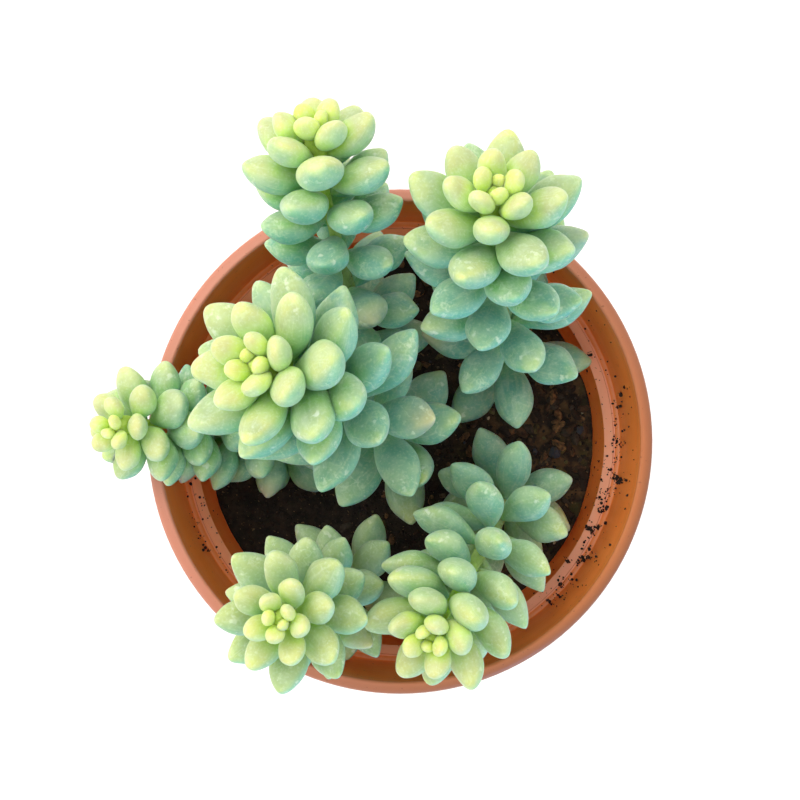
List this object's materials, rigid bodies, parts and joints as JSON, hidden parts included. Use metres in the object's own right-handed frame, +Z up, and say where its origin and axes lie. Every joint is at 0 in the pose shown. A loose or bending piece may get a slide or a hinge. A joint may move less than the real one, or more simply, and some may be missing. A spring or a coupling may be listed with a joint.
{
  "type": "potted burro's tail plant",
  "caption": "Trailing succulent in a round plastic pot: stems crowded with plump blunt leaves rise from dark potting mix and lean over a collared, terracotta-coloured rim",
  "frame": {"origin": "centre of the pot's foot, on the surface it stands on", "axes": "+Z up along the pot's axis; +X to the right and +Y away from the viewer, who looks down on the pot"},
  "size_m": [0.1643, 0.1665, 0.1938],
  "materials": {
    "pot": "smooth, satin, terracotta-coloured",
    "potting_mix": "dark, damp, crumbly",
    "leaf": "waxy bloom over smooth skin"
  },
  "bodies": {
    "root": {"pot": "pot", "soil": "potting_mix", "leafy_stem_back_left": "leaf", "leafy_stem_back_right": "leaf", "leafy_stem_centre": "leaf", "leafy_stem_over_rim": "leaf", "leafy_stem_front_left": "leaf", "leafy_stem_front_right": "leaf"}
  },
  "joints": []
}
